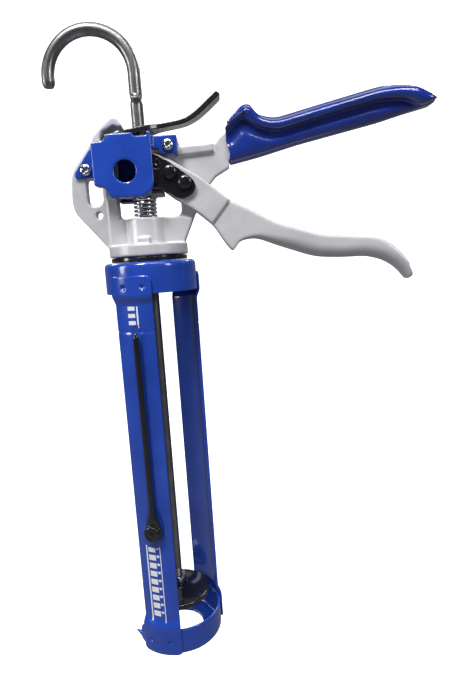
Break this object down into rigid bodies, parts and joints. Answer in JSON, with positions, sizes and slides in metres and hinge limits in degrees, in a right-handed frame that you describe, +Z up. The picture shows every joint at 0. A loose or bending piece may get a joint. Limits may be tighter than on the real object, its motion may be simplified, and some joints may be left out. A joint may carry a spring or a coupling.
{
  "type": "caulking gun",
  "caption": "Cradle caulking gun with a hooked plunger rod, swivelling half-open cradle, sprung trigger, thumb release, spout cutter and seal punch.",
  "frame": {"origin": "inside top of the hook on the plunger rod, where the gun hangs", "axes": "+Z up along the plunger rod, toward the hook, with the nozzle end down; +X toward the handle and trigger; -Y toward the cover with the spout cutter"},
  "size_m": [0.2188, 0.0587, 0.3691],
  "materials": {
    "casting_paint": "light silver-grey paint on a die casting, satin",
    "blue_paint": "glossy royal-blue enamel on pressed steel",
    "grip_vinyl": "glossy blue dipped vinyl",
    "black_steel": "glossy black finish on steel",
    "rod_steel": "bare drawn steel, slightly dull",
    "bright_plate": "bright zinc or nickel plate"
  },
  "bodies": {
    "plunger_rod": {"plunger_rod": "rod_steel", "plunger_nut_rear": "bright_plate", "plunger_washer": "bright_plate", "plunger_nut_front": "bright_plate"},
    "plunger_disc": {"plunger_disc": "black_steel"},
    "casting": {"body_casting": "casting_paint", "handle_grip": "grip_vinyl", "cover_near": "blue_paint", "cover_far": "blue_paint", "cover_screw_near_left": "bright_plate", "cover_screw_near_right": "bright_plate", "cover_screw_far_left": "bright_plate", "cover_screw_far_right": "bright_plate", "trigger_pivot_pin": "black_steel", "swivel_washer": "black_steel", "swivel_nut": "rod_steel", "return_spring": "bright_plate", "brake_spring": "bright_plate"},
    "trigger": {"trigger": "casting_paint", "trigger_plate_near": "black_steel", "trigger_plate_far": "black_steel", "trigger_rivet_near_1": "black_steel", "trigger_rivet_near_2": "black_steel", "trigger_rivet_far_1": "black_steel", "trigger_rivet_far_2": "black_steel", "cutter_blade": "rod_steel"},
    "drive": {"drive_plate_rear": "rod_steel", "drive_plate_front": "rod_steel"},
    "lever": {"release_lever": "black_steel"},
    "cradle": {"rear_cap": "blue_paint", "cradle_strip_front": "blue_paint", "cradle_strip_back": "blue_paint", "front_cap": "blue_paint", "seal_punch_pivot": "black_steel"},
    "punch": {"seal_punch": "black_steel"}
  },
  "joints": [
    {"name": "hook_swivel", "type": "hinge", "parent": "plunger_rod", "child": "plunger_disc", "pos_m": [0.024, 0, -0.33695], "axis": [0, 0, 1], "continuous": true},
    {"name": "rod_slide", "type": "slide", "parent": "plunger_disc", "child": "casting", "axis": [0, 0, -1], "range_m": [-0.011, 0.18]},
    {"name": "cradle_spin", "type": "hinge", "parent": "casting", "child": "cradle", "pos_m": [0.024, 0, -0.12495], "axis": [0, 0, 1], "continuous": true},
    {"name": "punch_swing", "type": "hinge", "parent": "cradle", "child": "punch", "pos_m": [0.0162, -0.0272, -0.28065], "axis": [-0.2755, -0.9607, 0.0349], "range_deg": [0, 180]},
    {"name": "trigger_squeeze", "type": "hinge", "parent": "casting", "child": "trigger", "pos_m": [0.0335, 0, -0.07195], "axis": [0, -1, 0], "range_deg": [0, 24], "stiffness_Nm_per_rad": 0.8, "springref_deg": -28.65},
    {"name": "drive_push", "type": "slide", "parent": "casting", "child": "drive", "axis": [0, 0, -1], "range_m": [0, 0.0023], "deforming": ["return_spring"]},
    {"name": "lever_press", "type": "hinge", "parent": "casting", "child": "lever", "pos_m": [0.0115, 0, -0.05275], "axis": [0, 1, 0], "range_deg": [0, 5], "stiffness_Nm_per_rad": 0.6, "springref_deg": -17.19, "deforming": ["brake_spring"]}
  ],
  "couplings": [
    {"joint": "drive_push", "follows": "trigger_squeeze", "m_per_rad": 0.0054}
  ]
}
